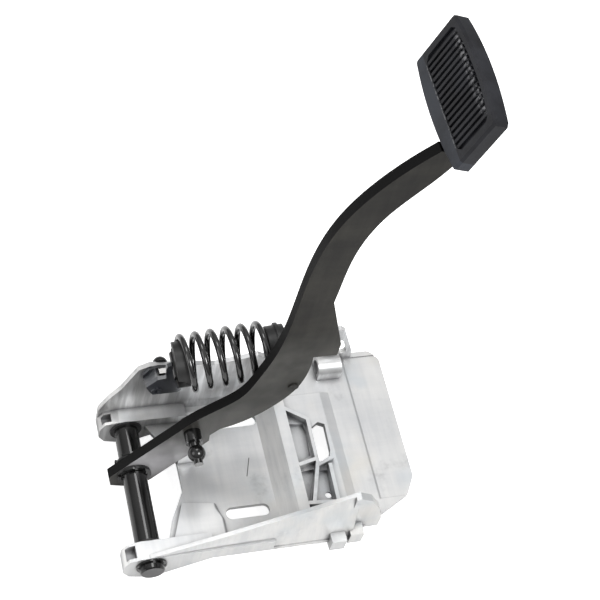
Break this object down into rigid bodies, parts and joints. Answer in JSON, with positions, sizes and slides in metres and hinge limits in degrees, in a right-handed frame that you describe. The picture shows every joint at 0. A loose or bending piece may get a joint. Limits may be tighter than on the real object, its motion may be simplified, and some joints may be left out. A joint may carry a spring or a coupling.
{
  "type": "clutch pedal assembly",
  "caption": "Hanging clutch pedal: rubber-faced foot pad on a curved steel arm, turning on a shaft in a cast aluminium bracket with an assist spring.",
  "frame": {"origin": "on the underside of the bracket's floor plate, between its two slots", "axes": "+Z out of the mounting face towards the foot pad, +Y along the pivot shaft, +X away from the shaft, the way the pad is pressed"},
  "size_m": [0.245, 0.1726, 0.4571],
  "materials": {
    "cast_aluminium": "as cast, satin",
    "black_paint": "satin e-coat",
    "black_steel": "black oxide, oiled",
    "zinc_steel": "zinc plated",
    "rubber": "matte",
    "black_nylon": "matte"
  },
  "bodies": {
    "frame": {"bracket": "cast_aluminium", "pivot_shaft": "black_steel", "near_ear_bush": "black_nylon", "far_ear_bush": "black_nylon", "shaft_clips": "black_steel", "thrust_washers": "black_nylon", "push_nuts": "black_steel", "spring_bracket": "black_paint", "pivot_pin": "black_steel", "bracket_bolts": "black_steel", "bracket_nuts": "zinc_steel"},
    "pedal": {"pedal_arm": "black_paint", "arm_bush": "black_nylon", "pedal_pad": "rubber", "pad_plate": "black_paint", "rod_stud": "black_steel", "stud_washer": "black_steel", "spring_pin": "zinc_steel"},
    "spring_base": {"spring_seat_base": "black_nylon", "assist_spring": "black_steel"},
    "spring_head": {"spring_seat_head": "black_nylon"}
  },
  "joints": [
    {"name": "pedal_swing", "type": "hinge", "parent": "frame", "child": "pedal", "pos_m": [-0.09, 0.0104, 0.002], "axis": [0, 1, 0], "range_deg": [-15, 0], "stiffness_Nm_per_rad": 6, "springref_deg": 20.05},
    {"name": "spring_turn", "type": "hinge", "parent": "frame", "child": "spring_base", "pos_m": [-0.0615, 0.041, 0.102], "axis": [0, 1, 0], "range_deg": [-28.65, 0]},
    {"name": "spring_press", "type": "slide", "parent": "spring_base", "child": "spring_head", "axis": [0.9904, 0, 0.1385], "range_m": [-0.02159, 0], "deforming": ["assist_spring"]}
  ],
  "couplings": [
    {"joint": "spring_turn", "follows": "pedal_swing", "ratio": 1.9066},
    {"joint": "spring_press", "follows": "pedal_swing", "m_per_rad": 0.08209}
  ]
}
